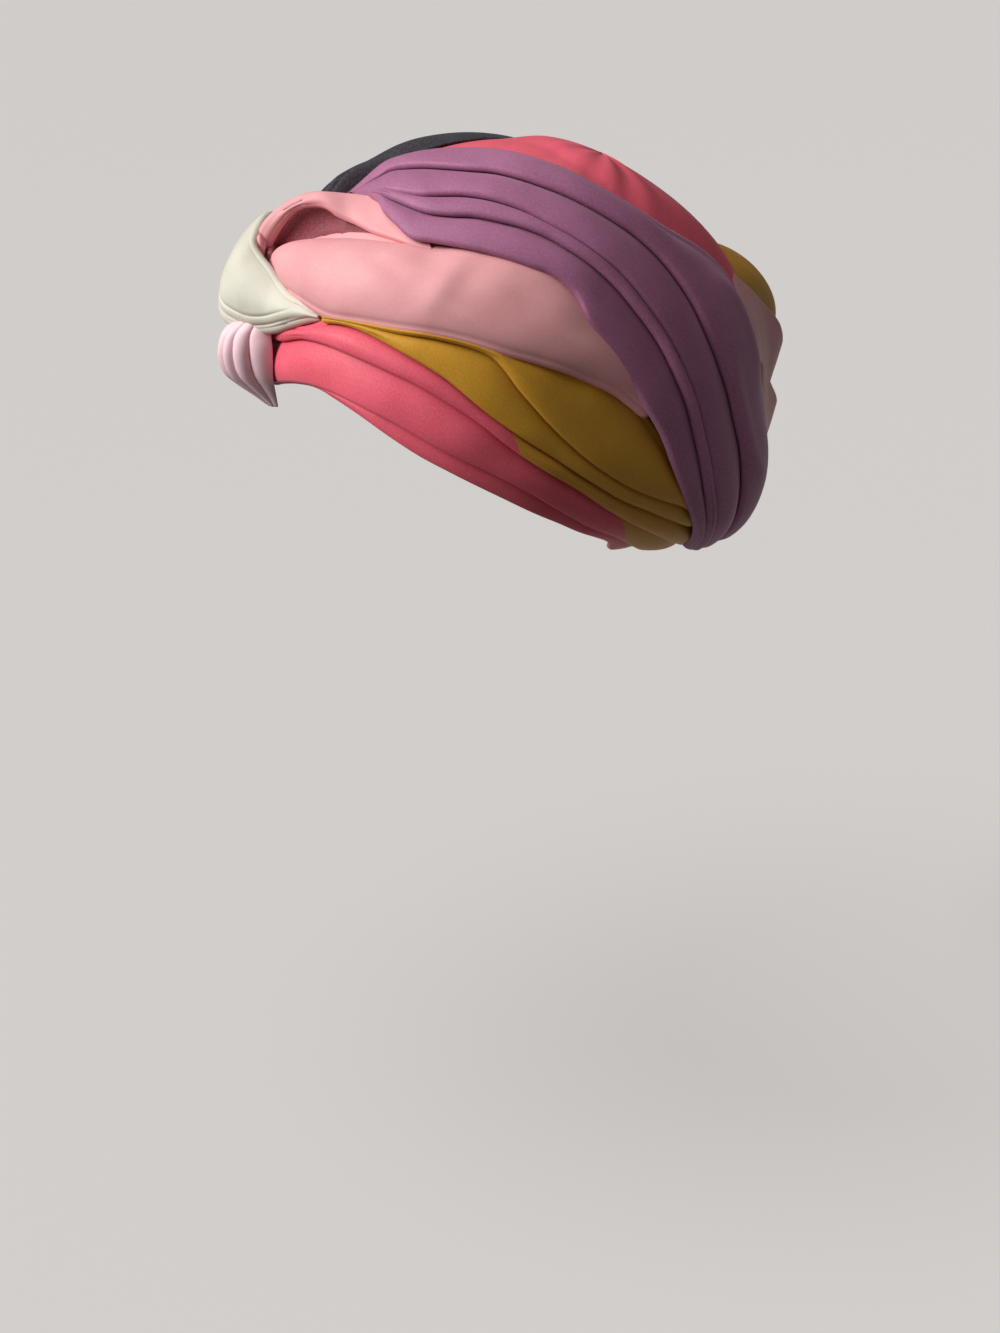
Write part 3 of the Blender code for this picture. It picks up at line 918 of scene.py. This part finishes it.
def flap_line(width, low, high, bend=1.3):
    """Line of a flap: its face rises to a folded upper edge, and it returns underneath."""
    line = Fold_Line(width)
    for part in np.linspace(0, 1, 36):
        rise = part ** 1.25 + 0.06 * math.sin(math.pi * part)
        line.lay(part * (width - bend), low + (high - low) * rise, 0)
    for angle in np.linspace(90, -90, 9)[1:]:
        swing = math.radians(angle)
        line.lay(width - bend + bend * math.cos(swing), high - bend + bend * math.sin(swing), 0)
    for part in np.linspace(0, 1, 12)[1:]:
        under = (high - 2 * bend) * (1 - part) + np.minimum(low, 1.0) * part
        line.lay((width - bend) * (1 - 0.7 * part), np.maximum(under - 1.0 * part, -0.4), 0)
    return line.grids()


azimuths = np.linspace(163, 205, 90)
scale = np.full_like(azimuths, 2.3)
lower, upper_edge, puff = curve(BACK_LOBE, azimuths)
back_lobe = lay_band(
    "back_lobe_cloth", azimuths, azimuths * 2.0, scale, lower,
    lobe_line((upper_edge - lower) * scale, puff), rim_direction, 61, unevenness=0.8,
)
back_lobe.data.materials.append(mustard_jersey)
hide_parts("back_lobe")

for name, rows, seed in (("back_fold_upper", UPPER_FLAP, 62), ("back_fold_lower", LOWER_FLAP, 63)):
    azimuths = np.linspace(rows[0][0], rows[-1][0], 80)
    scale = np.full_like(azimuths, 2.3)
    lower, upper_edge, low, high = curve(rows, azimuths)
    flap = lay_band(
        name + "_cloth", azimuths, azimuths * 2.0, scale, lower,
        flap_line((upper_edge - lower) * scale, low, high), rim_direction, seed, unevenness=0.5,
    )
    flap.data.materials.append(rose_jersey)
    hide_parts(name)


# The floor, the lights and the camera. A plain pale floor a little below the piece, a large
# soft light high on the left and front, a weaker broad one from above, and a pale room.
FLOOR_DROP = 0.42
bpy.ops.mesh.primitive_circle_add(vertices=96, radius=15, fill_type="NGON", location=(0, 0, -FLOOR_DROP))
floor = bpy.context.object
floor.name = "floor"
paper = bpy.data.materials.new("pale_paper")
paper.use_nodes = True
paper_shader = paper.node_tree.nodes["Principled BSDF"]
paper_wire = Wire(paper.node_tree, None)
grain = paper_wire.node("ShaderNodeTexNoise", {}, {"Scale": 2.0, "Detail": 3.0})
paper_wire.plug(grain.mix((0.60, 0.585, 0.575, 1), (0.63, 0.615, 0.605, 1)), paper_shader.inputs["Base Color"])
paper_wire.plug(grain * 0.1 + 0.75, paper_shader.inputs["Roughness"])
floor.data.materials.append(paper)

floor.visible_diffuse = False

world = bpy.data.worlds.new("room")
world.use_nodes = True
world.node_tree.nodes["Background"].inputs["Color"].default_value = (1.0, 0.98, 0.96, 1)
world.node_tree.nodes["Background"].inputs["Strength"].default_value = 0.09
bpy.context.scene.world = world


def broad_light(name, toward, spread, power, colour):
    """Parallel soft light that comes from a direction, as from a wide window far off."""
    lamp = bpy.data.lights.new(name, "SUN")
    lamp.angle, lamp.energy, lamp.color = math.radians(spread), power, colour
    holder = bpy.data.objects.new(name, lamp)
    bpy.context.scene.collection.objects.link(holder)
    holder.rotation_euler = mathutils.Vector(toward).to_track_quat("Z", "Y").to_euler()


broad_light("window", (0.06, -0.88, 0.55), 26, 3.5, (1.0, 0.99, 0.975))
broad_light("ceiling", (0.10, -0.40, 0.90), 50, 1.3, (1.0, 0.98, 0.96))

VIEW_AZIMUTH = math.radians(72)
VIEW_HEIGHT = math.radians(15)
VIEW_DISTANCE = 1.2
FRAME_WIDTH = 1000
FRAME_HEIGHT = 1333
FOCAL_PIXELS = 2460
ORIGIN_AT = (472, 372)

back = mathutils.Vector((
    math.sin(VIEW_AZIMUTH) * math.cos(VIEW_HEIGHT),
    -math.cos(VIEW_AZIMUTH) * math.cos(VIEW_HEIGHT),
    math.sin(VIEW_HEIGHT),
))
right = mathutils.Vector((math.cos(VIEW_AZIMUTH), math.sin(VIEW_AZIMUTH), 0))
up = back.cross(right)
nod = math.atan((FRAME_HEIGHT / 2 - ORIGIN_AT[1]) / FOCAL_PIXELS)
turn = math.atan((ORIGIN_AT[0] - FRAME_WIDTH / 2) / FOCAL_PIXELS)
look = -math.cos(nod) * back - math.sin(nod) * up
swing = mathutils.Matrix.Rotation(turn, 3, "Z")
look, right = swing @ look, swing @ right
camera_data = bpy.data.cameras.new("camera")
camera_data.sensor_fit = "HORIZONTAL"
camera_data.sensor_width = 36
camera_data.lens = 36 * FOCAL_PIXELS / FRAME_WIDTH
camera = bpy.data.objects.new("camera", camera_data)
bpy.context.scene.collection.objects.link(camera)
axes = mathutils.Matrix((right, right.cross(look), -look)).transposed()
camera.matrix_world = mathutils.Matrix.Translation(back * VIEW_DISTANCE) @ axes.to_4x4()
bpy.context.scene.camera = camera
bpy.context.scene.view_settings.view_transform = "Standard"
